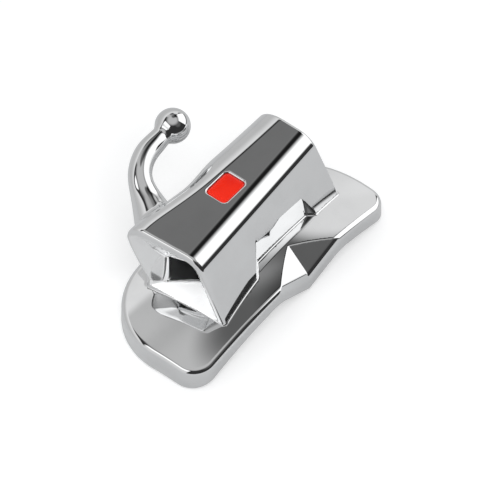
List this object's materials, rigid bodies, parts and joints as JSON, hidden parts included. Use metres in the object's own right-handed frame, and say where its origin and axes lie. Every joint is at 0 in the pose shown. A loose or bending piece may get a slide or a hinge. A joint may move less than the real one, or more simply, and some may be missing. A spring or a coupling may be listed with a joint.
{
  "type": "buccal tube",
  "caption": "Small polished metal orthodontic molar tube: rectangular wire slot with a flared mouth on a curved bonding pad, a ball-ended hook and a coloured marking inlay.",
  "frame": {"origin": "middle of the whole part's bounding box in x and y, at its lowest point, which is the pad's lowest rim", "axes": "+X along the tube from the mesial mouth to the distal end, +Y from the occlusal side to the gingival side where the hook is, +Z away from the tooth"},
  "size_m": [0.0058, 0.004, 0.0023],
  "materials": {
    "polished_steel": "mirror-polished stainless steel",
    "red_enamel": "glossy enamel or epoxy fill"
  },
  "bodies": {
    "root": {"tube_body": "polished_steel", "id_mark": "red_enamel"}
  },
  "joints": []
}
